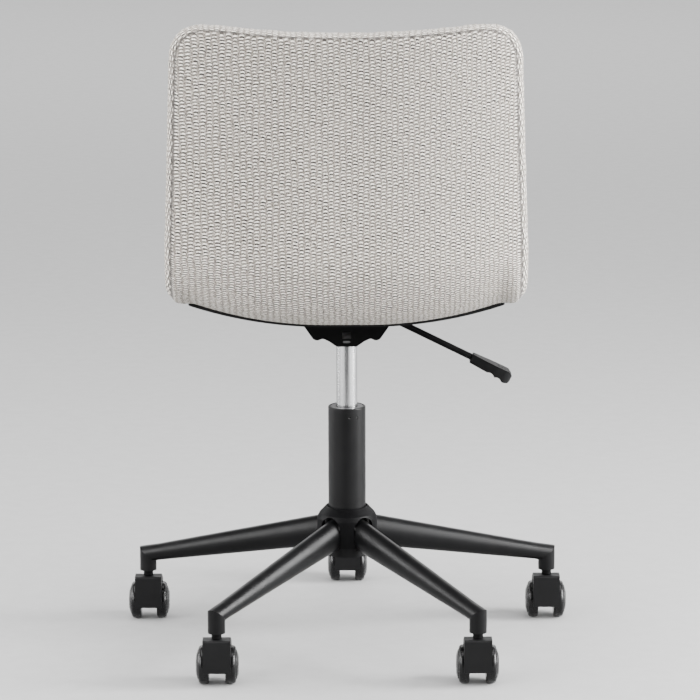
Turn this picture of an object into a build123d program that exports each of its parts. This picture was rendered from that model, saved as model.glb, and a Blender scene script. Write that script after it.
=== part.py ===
from build123d import *
import os
from math import atan, cos, degrees, radians, sin, tan

# Swivel task chair: an upholstered one-piece shell on a gas lift, with a five-spoke base on casters.
# Millimetres, +Z up, origin on the floor under the column, sitter facing -Y.

# Base
SPOKE_ANGLES = [54, 126, 198, 270, 342]
STEM_RADIUS = 286.5  # column axis to caster stem
SPOKE_ROOT_RADIUS = 29.0  # where the oval end of a spoke starts
SPOKE_ROOT_Z = 149.3
SPOKE_TIP_Z = 95.5  # spoke axis where it meets the socket axis
SPOKE_ROOT_HALF = (14.7, 21.7)  # half width and half height of the oval
SPOKE_TIP_R = 11.3
SPOKE_ROUND_LENGTH = 18.0  # last stretch of the spoke, of one diameter
SPOKE_WALL = 2.0
SOCKET_BOTTOM_Z = 72.7
INSERT_TOP_Z = 86.0
SLEEVE_R = 30.0
SLEEVE_BOTTOM_Z, SLEEVE_TOP_Z = 119.0, 173.0
COVER_R, COVER_WALL = 40.0, 3.0
COVER_BOTTOM_Z, COVER_TOP_Z = 133.6, 184.5
COVER_SHOULDER = ((40.0, 169.5), (36.8, 175.3))  # radius and height where the drum starts and ends its curve
COVER_MOUTH_R = 26.6
OPENING_WIDTH, OPENING_ARCH_GAP, OPENING_CENTRE_Z = 30.4, 17.8, 149.8

# Gas lift
TUBE_R, TUBE_WALL = 25.0, 2.0
TUBE_BOTTOM_Z, TUBE_TOP_Z = 121.0, 321.0
TUBE_FLOOR = 3.0
BUSH_BOTTOM_Z, BUSH_SHOULDER_Z, BUSH_TOP_Z = 245.0, 318.0, 320.6
CYLINDER_R, CYLINDER_BORE_R = 14.0, 12.2
CYLINDER_BOTTOM_Z, TAPER_BOTTOM_Z, CYLINDER_TOP_Z = 235.0, 405.0, 430.0
TAPER_TOP_R = 13.3
ROD_R = 5.0
PISTON_BOTTOM_Z, PISTON_TOP_Z = 254.0, 262.0
RUNNING = 0.05  # radial clearance of a running fit
PIN_R, PIN_BOTTOM_Z, PIN_TOP_Z = 3.0, 408.0, 433.5

# Lift mechanism
PAN_HALF_DEPTH = 55.0
PAN_WALL = 2.5
PLATE_BOTTOM_Z, PLATE_TOP_Z = 450.0, 453.0
PLATE_SIZE = (150.0, 176.0)
BOLT_X, BOLT_Y = 62.0, 72.0
SOCKET_R = 18.0
LEVER_Z = 438.0
LEVER_R = 4.2
PIVOT_X, PIVOT_R = -30.0, 2.5
LEVER_INNER_X = 8.0
LEVER_BEND_X = -62.2
LEVER_SLOPE = 26.36  # degrees below the horizontal
HANDLE_START, HANDLE_LENGTH = 116.0, 59.5  # along the slope from the bend
HANDLE_HALF_WIDTH = 14.5
HANDLE_ROOT_HALF_WIDTH = 8.0
HANDLE_SINK = 20.0  # how far the arm runs into the handle
SLOT_Z, SLOT_WIDTH, SLOT_HEIGHT = 426.5, 11.3, 8.4
HALF_MOON_Z, HALF_MOON_WIDTH, HALF_MOON_HEIGHT = 418.0, 10.0, 3.5
LEVER_DOOR_WIDTH, LEVER_DOOR_HEIGHT = 14.0, 19.0
STRAP_WIDTH = 13.0
STRAP_OUTLINE = [  # side view of the strap on the pan's floor, which turns up behind the holes in its end
    (16.0, 414.6),
    (52.3, 414.6),
    (52.3, 421.6),
    (44.3, 429.6),
    (43.2, 428.5),
    (50.8, 420.9),
    (50.8, 416.1),
    (16.0, 416.1),
]
STRAP_SLITS_Z = (424.2, 427.0)
EAR_Y, EAR_THICKNESS, EAR_HALF = 6.5, 2.5, 8.0
BOSS_R, BOSS_HALF = 6.5, 4.5
LEVER_BEND_R = 30.0
FLUTES, FLUTE_R = 12, 0.7
SCALLOP_R = 7.8
BOLT_R, BOLT_HEAD_R, BOLT_TOP_Z = 3.0, 5.5, 471.0
NUT_BARREL_R, NUT_FLANGE_R, NUT_BOTTOM_Z, NUT_FLANGE_Z = 4.0, 9.0, 463.0, 470.0

# Upholstered shell: layers are measured inwards from its outer face, rear and bottom
SHELL_THICKNESS = 40.0
REAR_PANEL_DEPTH = 3.8
PLY_DEPTHS = (4.0, 14.0)
PAD_START = 14.2
PLY_INSET = 14.0
SHELL_HALF_WIDTH, TOP_HALF_WIDTH = 230.0, 220.0
SHELL_BOTTOM_Z = 457.0
SHELL_FRONT_Y = -235.0
FRONT_DROP_R, FRONT_DROP_ANGLE = 160.0, 25.0
BEND_START_Y, BEND_R, BEND_ANGLE = 127.0, 105.0, 88.0
BACK_R, BACK_ANGLE = 1484.0, 13.0
FLAT_HALF, DISH_R, DISH_ANGLE = 27.0, 525.0, 28.0
TOP_CENTRE_Z, TOP_CORNER_Z, TOP_CORNER_X = 849.3, 857.5, 180.0
TOP_CREST_R = 400.0  # where the corner turns into the shallow dip of the top edge
TOP_CORNER_R = 34.0
SIDE_TAPER_Z = (560.0, 820.0)
FRONT_CORNER_R, FRONT_BOW = 62.0, 8.0

# Underside cover
COVER_GAP = 0.3
BOARD_THICKNESS = 3.0
BOARD_HALF_WIDTH = 204.5
BOARD_FRONT_Y, BOARD_REAR_Y = -160.0, 133.0
BOARD_CORNER_R = 4.0
BOARD_DISH_R = 560.0  # flatter than the shell, so its side edges are thicker

# Casters
WHEEL_R = 25.0
AXLE_R = 4.0
TRAIL = 18.0
WHEEL_INNER_X, WHEEL_OUTER_X = 10.7, 24.4
CAP_R, CAP_SEAT_X, CAP_CROWN_X = 19.3, 22.4, 28.0
WEB_HALF = 10.0
HOOD_HALF = 18.0
HOOD_WHEEL_R = 26.6
HOOD_FRONT_Y, HOOD_BOTTOM_Z, HOOD_TOP_Z = 13.5, 21.0, 64.5
COLLAR_R, COLLAR_BOTTOM_Z, COLLAR_TOP_Z = 6.5, 64.7, 71.4
STEM_R, STEM_LOWER_R, STEM_TOP_Z, STEM_BOTTOM_Z = 5.5, 4.0, 93.0, 40.0
GROOVE_Z = (79.0, 82.5)


def write(piece, label):
    piece.part.label = label
    export_step(piece.part, f"parts/{label}.step")


def turned(points, axis_at=(0, 0)):
    """A solid of revolution about the vertical line at axis_at, from (radius, height) points."""
    with BuildPart() as piece:
        with BuildSketch(Plane(origin=(*axis_at, 0), x_dir=(1, 0, 0), z_dir=(0, -1, 0))):
            with BuildLine():
                Polyline(*points, close=True)
            make_face()
        revolve(axis=Axis((*axis_at, 0), (0, 0, 1)))
    return piece


def ring(inner, outer, bottom, top, axis_at=(0, 0)):
    return turned([(inner, bottom), (outer, bottom), (outer, top), (inner, top)], axis_at)


def rounded_face(sketch, corners):
    """Fills an outline in the sketch, from (x, y, corner radius) points."""
    Polygon(*[(x, y) for x, y, _ in corners], align=None)
    for x, y, radius in corners:
        if radius:
            fillet(sketch.vertices().sort_by_distance((x, y))[0], radius)


def together(pieces):
    """One node of several separate solids."""
    with BuildPart() as group:
        for piece in pieces:
            add(piece.part)
    return group


# ---------------------------------------------------------------- base


def outward(angle):
    return Vector(cos(radians(angle)), sin(radians(angle)), 0)


def stem_place(angle):
    return (STEM_RADIUS * cos(radians(angle)), STEM_RADIUS * sin(radians(angle)))


def spoke_fall():
    return atan((SPOKE_ROOT_Z - SPOKE_TIP_Z) / (STEM_RADIUS - SPOKE_ROOT_RADIUS))


def mitre_plane(angle):
    """The plane that halves the corner between a spoke's axis and its vertical socket."""
    out, fall = outward(angle), spoke_fall()
    along_spoke = out * cos(fall) + Vector(0, 0, -sin(fall))
    corner = out * STEM_RADIUS + Vector(0, 0, SPOKE_TIP_Z)
    return Plane(origin=corner, z_dir=along_spoke + Vector(0, 0, -1))


def spoke(angle):
    out, fall = outward(angle), spoke_fall()
    across = Vector(-out.Y, out.X, 0)
    along = out * cos(fall) + Vector(0, 0, -sin(fall))
    corner = out * STEM_RADIUS + Vector(0, 0, SPOKE_TIP_Z)
    root = Plane(origin=out * SPOKE_ROOT_RADIUS + Vector(0, 0, SPOKE_ROOT_Z), x_dir=across, z_dir=out)
    neck = Plane(origin=corner - along * SPOKE_ROUND_LENGTH, x_dir=across, z_dir=along)
    with BuildPart() as tube:
        for wall, mode in ((0, Mode.ADD), (SPOKE_WALL, Mode.SUBTRACT)):
            with BuildSketch(root):
                Ellipse(SPOKE_ROOT_HALF[0] - wall, SPOKE_ROOT_HALF[1] - wall)
            with BuildSketch(neck) as round_end:
                Circle(SPOKE_TIP_R - wall)
            loft(mode=mode)
            extrude(round_end.sketch, amount=3 * SPOKE_ROUND_LENGTH, mode=mode)
        with BuildSketch(Plane.XY.offset(SLEEVE_BOTTOM_Z - 10)):
            Circle(SLEEVE_R + 0.02)
        extrude(amount=SLEEVE_TOP_Z - SLEEVE_BOTTOM_Z + 40, mode=Mode.SUBTRACT)
        split(bisect_by=mitre_plane(angle), keep=Keep.BOTTOM)
    return tube


def spoke_socket(angle):
    with BuildPart() as tube:
        with BuildSketch(Plane(origin=(*stem_place(angle), SOCKET_BOTTOM_Z))):
            Circle(SPOKE_TIP_R)
            Circle(SPOKE_TIP_R - SPOKE_WALL, mode=Mode.SUBTRACT)
        extrude(amount=40)
        split(bisect_by=mitre_plane(angle), keep=Keep.TOP)
    return tube


def stem_insert(angle):
    """Plastic sleeve in a socket, with a neck that stands on the stem's collar."""
    bore, body = STEM_R + 0.3, SPOKE_TIP_R - SPOKE_WALL - 0.05
    outline = [
        (bore, COLLAR_TOP_Z + 0.2),
        (COLLAR_R - 0.1, COLLAR_TOP_Z + 0.2),
        (COLLAR_R - 0.1, SOCKET_BOTTOM_Z),
        (body, SOCKET_BOTTOM_Z),
        (body, INSERT_TOP_Z),
        (bore, INSERT_TOP_Z),
    ]
    return turned(outline, stem_place(angle))


def caster_stem(angle):
    groove_r = STEM_R - 0.8
    outline = [
        (0, STEM_BOTTOM_Z),
        (STEM_LOWER_R, STEM_BOTTOM_Z),
        (STEM_LOWER_R, COLLAR_BOTTOM_Z),
        (COLLAR_R - 0.6, COLLAR_BOTTOM_Z),
        (COLLAR_R, COLLAR_BOTTOM_Z + 0.6),
        (COLLAR_R, COLLAR_TOP_Z),
        (STEM_R, COLLAR_TOP_Z),
        (STEM_R, GROOVE_Z[0]),
        (groove_r, GROOVE_Z[0]),
        (groove_r, GROOVE_Z[1]),
        (STEM_R, GROOVE_Z[1]),
        (STEM_R, STEM_TOP_Z - 1.5),
        (STEM_R - 1.5, STEM_TOP_Z),
        (0, STEM_TOP_Z),
    ]
    return turned(outline, stem_place(angle))


def grip_ring(angle):
    return ring(STEM_R - 0.75, STEM_R + 0.25, GROOVE_Z[0] + 0.1, GROOVE_Z[1] - 0.1, stem_place(angle))


def hub_cover():
    """Collar with a sloping shoulder and an arched opening round each spoke."""
    inner_r = COVER_R - COVER_WALL
    with BuildPart() as cover:
        with BuildSketch(Plane.XZ) as profile:
            corners = [
                (inner_r, COVER_BOTTOM_Z, 0),
                (COVER_R, COVER_BOTTOM_Z, 0),
                (*COVER_SHOULDER[0], 5),
                (*COVER_SHOULDER[1], 1),
                (COVER_MOUTH_R + 1.5, COVER_TOP_Z, 0.5),
                (COVER_MOUTH_R, COVER_TOP_Z, 0.4),
                (COVER_MOUTH_R, COVER_TOP_Z - 3, 0),
                (COVER_SHOULDER[1][0] - COVER_WALL, COVER_SHOULDER[1][1] - 1.5, 0),
                (inner_r, COVER_SHOULDER[0][1] - 1.5, 0),
            ]
            rounded_face(profile, corners)
        revolve(axis=Axis.Z)
        for angle in SPOKE_ANGLES:
            out = outward(angle)
            facing = Plane(
                origin=out * (COVER_R + 10) + Vector(0, 0, OPENING_CENTRE_Z),
                x_dir=(-out.Y, out.X, 0),
                z_dir=out,
            )
            with BuildSketch(facing):
                SlotCenterToCenter(OPENING_ARCH_GAP, OPENING_WIDTH, rotation=90)
            extrude(amount=-25, mode=Mode.SUBTRACT)
    return cover


def hub_sleeve():
    return ring(TUBE_R + 0.05, SLEEVE_R, SLEEVE_BOTTOM_Z, SLEEVE_TOP_Z)


# ---------------------------------------------------------------- gas lift


def column_tube():
    """Stand tube with a rolled rim, a floor with a hole for the rod, and two crimps that hold the bush."""
    bore = TUBE_R - TUBE_WALL
    outline = [
        (ROD_R + RUNNING, TUBE_BOTTOM_Z),
        (TUBE_R - 1, TUBE_BOTTOM_Z),
        (TUBE_R, TUBE_BOTTOM_Z + 1),
        (TUBE_R, TUBE_TOP_Z - 1.4),
        (TUBE_R - 0.5, TUBE_TOP_Z - 0.4),
        (TUBE_R - 1.2, TUBE_TOP_Z),
        (bore - 0.6, TUBE_TOP_Z),
        (bore - 0.6, TUBE_TOP_Z - 2.2),
        (bore, TUBE_TOP_Z - 2.8),
        (bore, TUBE_BOTTOM_Z + TUBE_FLOOR),
        (ROD_R + RUNNING, TUBE_BOTTOM_Z + TUBE_FLOOR),
    ]
    body = turned(outline)
    with BuildPart() as tube:
        add(body.part)
        for turn in (99, 124):
            crimp = outward(turn) * (TUBE_R + 1.2) + Vector(0, 0, TUBE_TOP_Z - 12)
            with Locations(crimp):
                Sphere(2.2, mode=Mode.SUBTRACT)
    return tube


def guide_bush():
    """Plastic bush that the cylinder slides in, flush with the tube's mouth."""
    inner, outer = CYLINDER_R + RUNNING, TUBE_R - TUBE_WALL - 0.05
    neck = outer - 0.65
    outline = [
        (inner, BUSH_BOTTOM_Z),
        (outer, BUSH_BOTTOM_Z),
        (outer, BUSH_SHOULDER_Z),
        (neck, BUSH_SHOULDER_Z),
        (neck, BUSH_TOP_Z - 0.5),
        (neck - 0.5, BUSH_TOP_Z),
        (inner + 1.5, BUSH_TOP_Z),
        (inner, BUSH_TOP_Z - 1.5),
    ]
    return turned(outline)


def piston_rod():
    """Rod with its piston head, and the groove that the retaining clip sits in."""
    piston_r = CYLINDER_BORE_R - 0.08
    outline = [
        (0, TUBE_BOTTOM_Z - 4),
        (ROD_R - 0.4, TUBE_BOTTOM_Z - 4),
        (ROD_R - 0.4, TUBE_BOTTOM_Z - 2.2),
        (ROD_R - 1, TUBE_BOTTOM_Z - 2.2),
        (ROD_R - 1, TUBE_BOTTOM_Z - 0.4),
        (ROD_R, TUBE_BOTTOM_Z - 0.4),
        (ROD_R, PISTON_BOTTOM_Z),
        (piston_r, PISTON_BOTTOM_Z),
        (piston_r, PISTON_BOTTOM_Z + 2.5),
        (piston_r - 1.5, PISTON_BOTTOM_Z + 2.5),
        (piston_r - 1.5, PISTON_TOP_Z - 2.5),
        (piston_r, PISTON_TOP_Z - 2.5),
        (piston_r, PISTON_TOP_Z),
        (0, PISTON_TOP_Z),
    ]
    return turned(outline)


def rod_clip():
    return ring(ROD_R - 0.95, ROD_R + 4, TUBE_BOTTOM_Z - 2.1, TUBE_BOTTOM_Z - 0.5)


def thrust_bearing():
    """Two races with the ball cage between them, as one turned stack."""
    inner, outer, bottom = ROD_R + 0.3, CYLINDER_R, TUBE_BOTTOM_Z + TUBE_FLOOR + 0.1
    outline = [
        (inner, bottom),
        (outer, bottom),
        (outer, bottom + 2),
        (outer - 1, bottom + 2),
        (outer - 1, bottom + 5),
        (outer, bottom + 5),
        (outer, bottom + 7),
        (inner, bottom + 7),
    ]
    return turned(outline)


def gas_cylinder():
    top_wall = 8
    outline = [
        (CYLINDER_BORE_R, CYLINDER_BOTTOM_Z),
        (CYLINDER_R - 1, CYLINDER_BOTTOM_Z),
        (CYLINDER_R, CYLINDER_BOTTOM_Z + 1),
        (CYLINDER_R, TAPER_BOTTOM_Z),
        (TAPER_TOP_R, CYLINDER_TOP_Z),
        (PIN_R + RUNNING, CYLINDER_TOP_Z),
        (PIN_R + RUNNING, CYLINDER_TOP_Z - top_wall),
        (CYLINDER_BORE_R, CYLINDER_TOP_Z - top_wall),
    ]
    return turned(outline)


def cylinder_gland():
    return ring(ROD_R + RUNNING, CYLINDER_BORE_R - 0.05, CYLINDER_BOTTOM_Z + 1, CYLINDER_BOTTOM_Z + 15)


def release_pin():
    """Valve pin, bevelled at the top, which the lever pushes down."""
    outline = [
        (0, PIN_BOTTOM_Z),
        (PIN_R, PIN_BOTTOM_Z),
        (PIN_R, PIN_TOP_Z - 1),
        (PIN_R - 1, PIN_TOP_Z),
        (0, PIN_TOP_Z),
    ]
    return turned(outline)


def cone_socket():
    """Tapered steel sleeve that wedges on the cylinder's top, with a strap to each end of the pan."""
    gap = 0.03
    outline = [
        (CYLINDER_R + gap, TAPER_BOTTOM_Z),
        (SOCKET_R, TAPER_BOTTOM_Z),
        (SOCKET_R, CYLINDER_TOP_Z - 1),
        (TAPER_TOP_R + gap + 0.03, CYLINDER_TOP_Z - 1),
    ]
    sleeve = turned(outline)
    with BuildPart() as socket:
        add(sleeve.part)
        for side in (-1, 1):
            strap = [(side * y, z) for y, z in STRAP_OUTLINE]
            with BuildSketch(Plane.YZ.offset(-STRAP_WIDTH / 2)):
                with BuildLine():
                    Polyline(*strap, close=True)
                make_face()
            extrude(amount=STRAP_WIDTH)
            with Locations(*[(0, side * 47, z) for z in STRAP_SLITS_Z]):
                Box(STRAP_WIDTH - 4, 9, 1, mode=Mode.SUBTRACT)
    return socket


# ---------------------------------------------------------------- lift mechanism


def pan_section(top_z, inset, at_y):
    """The pan's lobed outline, open upwards, in the vertical plane at at_y."""
    right = [
        (13.0, 412.0, 5),
        (23.5, 419.3, 5),
        (31.6, 423.0, 5),
        (41.5, 418.4, 8),
        (55.0, 438.0, 9),
        (55.0 + 0.5 * (top_z - 438.0), top_z, 0),
    ]
    left = [(-x, z, radius) for x, z, radius in reversed(right)]
    with BuildSketch(Plane.XZ.offset(-at_y)) as section:
        rounded_face(section, left + right)
        if inset:
            offset(amount=-inset, kind=Kind.INTERSECTION)
    return section.sketch


def mechanism_pan():
    """Pressed steel pan under the seat plate: lobed in section, with two small holes in each end."""
    outer = pan_section(PLATE_BOTTOM_Z, 0, PAN_HALF_DEPTH)
    inner = pan_section(PLATE_BOTTOM_Z + 10, PAN_WALL, PAN_HALF_DEPTH - PAN_WALL)
    with BuildPart() as pan:
        extrude(outer, amount=2 * PAN_HALF_DEPTH)
        extrude(inner, amount=2 * (PAN_HALF_DEPTH - PAN_WALL), mode=Mode.SUBTRACT)
        with BuildSketch(Plane.XZ.offset(-PAN_HALF_DEPTH - 1)):
            with Locations((0, SLOT_Z)):
                Rectangle(SLOT_WIDTH, SLOT_HEIGHT)
            with Locations((0, HALF_MOON_Z)):
                SlotOverall(HALF_MOON_WIDTH, HALF_MOON_HEIGHT)
        extrude(amount=2 * PAN_HALF_DEPTH + 2, mode=Mode.SUBTRACT)
        with BuildSketch(Plane.XY.offset(TAPER_BOTTOM_Z)):
            Circle(SOCKET_R + 0.02)
        extrude(amount=20, mode=Mode.SUBTRACT)
        with BuildSketch(Plane.YZ.offset(-70)):
            with Locations((0, LEVER_Z)):
                RectangleRounded(LEVER_DOOR_WIDTH, LEVER_DOOR_HEIGHT, 3)
        extrude(amount=30, mode=Mode.SUBTRACT)
    return pan


def seat_plate():
    """Bolted plate with the two ears that carry the lever's pivot."""
    with BuildPart() as plate:
        with BuildSketch(Plane.XY.offset(PLATE_BOTTOM_Z)):
            RectangleRounded(*PLATE_SIZE, 12)
            with GridLocations(2 * BOLT_X, 2 * BOLT_Y, 2, 2):
                Circle(3.3, mode=Mode.SUBTRACT)
        extrude(amount=PLATE_TOP_Z - PLATE_BOTTOM_Z)
        for side in (-1, 1):
            with BuildSketch(Plane.XZ.offset(-side * EAR_Y - EAR_THICKNESS / 2)):
                with BuildLine():
                    Polyline(
                        (PIVOT_X + EAR_HALF, LEVER_Z),
                        (PIVOT_X + EAR_HALF, PLATE_BOTTOM_Z + 1),
                        (PIVOT_X - EAR_HALF, PLATE_BOTTOM_Z + 1),
                        (PIVOT_X - EAR_HALF, LEVER_Z),
                    )
                    RadiusArc((PIVOT_X - EAR_HALF, LEVER_Z), (PIVOT_X + EAR_HALF, LEVER_Z), -EAR_HALF)
                make_face()
                with Locations((PIVOT_X, LEVER_Z)):
                    Circle(PIVOT_R + 0.01, mode=Mode.SUBTRACT)
            extrude(amount=EAR_THICKNESS)
    return plate


def lever_pivot():
    reach = EAR_Y + EAR_THICKNESS / 2 + 1
    with BuildPart() as pin:
        with BuildSketch(Plane.XZ.offset(-reach)):
            with Locations((PIVOT_X, LEVER_Z)):
                Circle(PIVOT_R)
        extrude(amount=2 * reach)
    return pin


def lever_frame(along, lift=0.0):
    """The point that far down the arm's slope from the bend, lifted square to it, as (x, z)."""
    slope = radians(LEVER_SLOPE)
    x = LEVER_BEND_X - along * cos(slope) - lift * sin(slope)
    return (x, LEVER_Z - along * sin(slope) + lift * cos(slope))


def lever_slope_plane(along):
    """Section plane square to the arm, with its normal running down the slope."""
    x, z = lever_frame(along)
    slope = radians(LEVER_SLOPE)
    return Plane(origin=(x, 0, z), x_dir=(0, 1, 0), z_dir=(-cos(slope), 0, -sin(slope)))


def lever_arm():
    """Bent rod with a pivot boss, grooved along its outer stretch."""
    tangent = LEVER_BEND_R * tan(radians(LEVER_SLOPE / 2))
    bend_start_x = LEVER_BEND_X + tangent
    bend_axis = Axis((bend_start_x, 0, LEVER_Z - LEVER_BEND_R), (0, -1, 0))
    with BuildPart() as arm:
        with BuildSketch(Plane.YZ.offset(LEVER_INNER_X)):
            with Locations((0, LEVER_Z)):
                Circle(LEVER_R)
        extrude(amount=bend_start_x - LEVER_INNER_X)
        with BuildSketch(Plane.YZ.offset(bend_start_x)):
            with Locations((0, LEVER_Z)):
                Circle(LEVER_R)
        revolve(axis=bend_axis, revolution_arc=LEVER_SLOPE)
        with BuildSketch(lever_slope_plane(tangent)):
            Circle(LEVER_R)
            with PolarLocations(LEVER_R + 0.25, FLUTES):
                Circle(FLUTE_R, mode=Mode.SUBTRACT)
        extrude(amount=HANDLE_START + HANDLE_SINK - tangent)
        with BuildSketch(Plane.XZ.offset(-BOSS_HALF)):
            with Locations((PIVOT_X, LEVER_Z)):
                Circle(BOSS_R)
        extrude(amount=2 * BOSS_HALF)
        with BuildSketch(Plane.XZ.offset(-BOSS_HALF - 1)):
            with Locations((PIVOT_X, LEVER_Z)):
                Circle(PIVOT_R + RUNNING)
        extrude(amount=2 * BOSS_HALF + 2, mode=Mode.SUBTRACT)
    return arm


def lever_handle():
    """Flat paddle: straight on top with three short grip bars, scalloped for the fingers below."""
    x, z = lever_frame(HANDLE_START)
    slope = radians(LEVER_SLOPE)
    side = Plane(origin=(x, 0, z), x_dir=(-cos(slope), 0, -sin(slope)), z_dir=(0, 1, 0))
    top = Plane(origin=(x, 0, z), x_dir=(-cos(slope), 0, -sin(slope)), z_dir=(-sin(slope), 0, cos(slope)))
    with BuildPart() as handle:
        with BuildSketch(side.offset(-HANDLE_HALF_WIDTH)) as section:
            corners = [
                (0, 5.4, 1),
                (HANDLE_LENGTH - 7, 5.8, 5),
                (HANDLE_LENGTH, 1.8, 4),
                (HANDLE_LENGTH - 1, -9.4, 4),
                (HANDLE_LENGTH - 9, -10.8, 4),
                (HANDLE_LENGTH * 0.45, -7.6, 12),
                (0, -6.9, 1),
            ]
            rounded_face(section, corners)
            with Locations((31, 1.8 - 7.9 - SCALLOP_R), (42.5, 1.6 - 9.4 - SCALLOP_R)):
                Circle(SCALLOP_R, mode=Mode.SUBTRACT)
        extrude(amount=2 * HANDLE_HALF_WIDTH)
        with BuildSketch(top.offset(-20)) as plan:
            corners = [
                (0, HANDLE_ROOT_HALF_WIDTH, 0),
                (HANDLE_LENGTH * 0.55, HANDLE_HALF_WIDTH, 30),
                (HANDLE_LENGTH, HANDLE_HALF_WIDTH, 12),
                (HANDLE_LENGTH, -HANDLE_HALF_WIDTH, 12),
                (HANDLE_LENGTH * 0.55, -HANDLE_HALF_WIDTH, 30),
                (0, -HANDLE_ROOT_HALF_WIDTH, 0),
            ]
            rounded_face(plan, corners)
        extrude(amount=40, mode=Mode.INTERSECT)
        with BuildSketch(top.offset(5.3)):
            for along in (38, 42.5, 47):
                with Locations((along, 0)):
                    SlotOverall(11, 1.6, rotation=90)
        extrude(amount=0.9)
        with BuildSketch(lever_slope_plane(HANDLE_START - 1)):
            Circle(LEVER_R + 0.02)
        extrude(amount=HANDLE_SINK + 1.2, mode=Mode.SUBTRACT)
    return handle


# ---------------------------------------------------------------- upholstered shell


def shell_path():
    """The shell's outer face on its centre line, from the front edge, round the bend and up the back."""
    tilt = radians(FRONT_DROP_ANGLE)
    drop_start = (
        SHELL_FRONT_Y - 20,
        SHELL_BOTTOM_Z - FRONT_DROP_R * (1 - cos(tilt)) - 20 * tan(tilt),
    )
    with BuildLine(Plane.YZ) as path:
        lead = Line(drop_start, (SHELL_FRONT_Y, drop_start[1] + 20 * tan(tilt)))
        drop = JernArc(lead @ 1, lead % 1, FRONT_DROP_R, -FRONT_DROP_ANGLE)
        seat = Line(drop @ 1, (BEND_START_Y, SHELL_BOTTOM_Z))
        bend = JernArc(seat @ 1, seat % 1, BEND_R, BEND_ANGLE)
        JernArc(bend @ 1, bend % 1, BACK_R, -BACK_ANGLE)
    return path.line


def layer_section(near, far, dish_r, plane):
    """A dished strip between two depths: flat in the middle, curving towards the sitter at the sides."""
    with BuildSketch(plane) as section:
        with BuildLine():
            Line((0, near), (FLAT_HALF, near))
            low = CenterArc((FLAT_HALF, dish_r), dish_r - near, -90, DISH_ANGLE)
            high = CenterArc((FLAT_HALF, DISH_R), DISH_R - far, -90, DISH_ANGLE)
            Line(low @ 1, high @ 1)
            Line((FLAT_HALF, far), (0, far))
            mirror(about=Plane.YZ)
        make_face()
    return section.sketch


def front_outline(inset):
    """The shell seen from the front: tapering sides, round top corners and a dip in the top edge."""
    half, top_half = SHELL_HALF_WIDTH - inset, TOP_HALF_WIDTH - inset
    corner_top, centre_top = TOP_CORNER_Z - inset, TOP_CENTRE_Z - inset
    turn = 2 * degrees(atan((corner_top - centre_top) / TOP_CORNER_X))
    with BuildSketch(Plane.XZ.offset(-500)) as outline:
        with BuildLine():
            Line((0, SHELL_BOTTOM_Z - 60), (half, SHELL_BOTTOM_Z - 60))
            Line((half, SHELL_BOTTOM_Z - 60), (half, SIDE_TAPER_Z[0]))
            Line((half, SIDE_TAPER_Z[0]), (top_half, SIDE_TAPER_Z[1]))
            corner_start = (top_half - 0.5, corner_top - TOP_CORNER_R + 4)
            Line((top_half, SIDE_TAPER_Z[1]), corner_start)
            corner = RadiusArc(corner_start, (TOP_CORNER_X, corner_top), -TOP_CORNER_R - 3)
            crest = JernArc(corner @ 1, (-1, 0), TOP_CREST_R, turn)
            TangentArc(crest @ 1, (0, centre_top), tangent=crest % 1)
            mirror(about=Plane.YZ)
        make_face()
    return outline.sketch


def seat_outline(inset):
    """The shell seen from above: round front corners and a slightly bowed front edge."""
    half, front = SHELL_HALF_WIDTH - inset, SHELL_FRONT_Y + inset
    with BuildSketch() as outline:
        with BuildLine():
            ThreePointArc((-half, front + FRONT_BOW), (0, front), (half, front + FRONT_BOW))
            Polyline((half, front + FRONT_BOW), (half, 400), (-half, 400), (-half, front + FRONT_BOW))
        make_face()
        fillet(outline.vertices().group_by(Axis.Y)[0], FRONT_CORNER_R - inset)
    return outline.sketch


def shell_layer(near, far, inset, holes=0.0, counterbore=None):
    """One layer of the shell between two depths, trimmed to its outlines, with holes for the seat bolts."""
    path = shell_path()
    start = Plane(origin=path @ 0, x_dir=(-1, 0, 0), z_dir=path % 0)
    section = layer_section(near, far, DISH_R, start)
    front, above = front_outline(inset), seat_outline(inset)
    with BuildPart() as layer:
        sweep(section, path=path)
        extrude(front, amount=1000, mode=Mode.INTERSECT)
        extrude(above, amount=1000, mode=Mode.INTERSECT)
        if holes:
            with BuildSketch(Plane.XY.offset(SHELL_BOTTOM_Z - 5)):
                with GridLocations(2 * BOLT_X, 2 * BOLT_Y, 2, 2):
                    Circle(holes)
            extrude(amount=30, mode=Mode.SUBTRACT)
        if counterbore:
            bore_r, bore_bottom_z = counterbore
            with BuildSketch(Plane.XY.offset(bore_bottom_z)):
                with GridLocations(2 * BOLT_X, 2 * BOLT_Y, 2, 2):
                    Circle(bore_r)
            extrude(amount=10, mode=Mode.SUBTRACT)
    return layer


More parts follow.
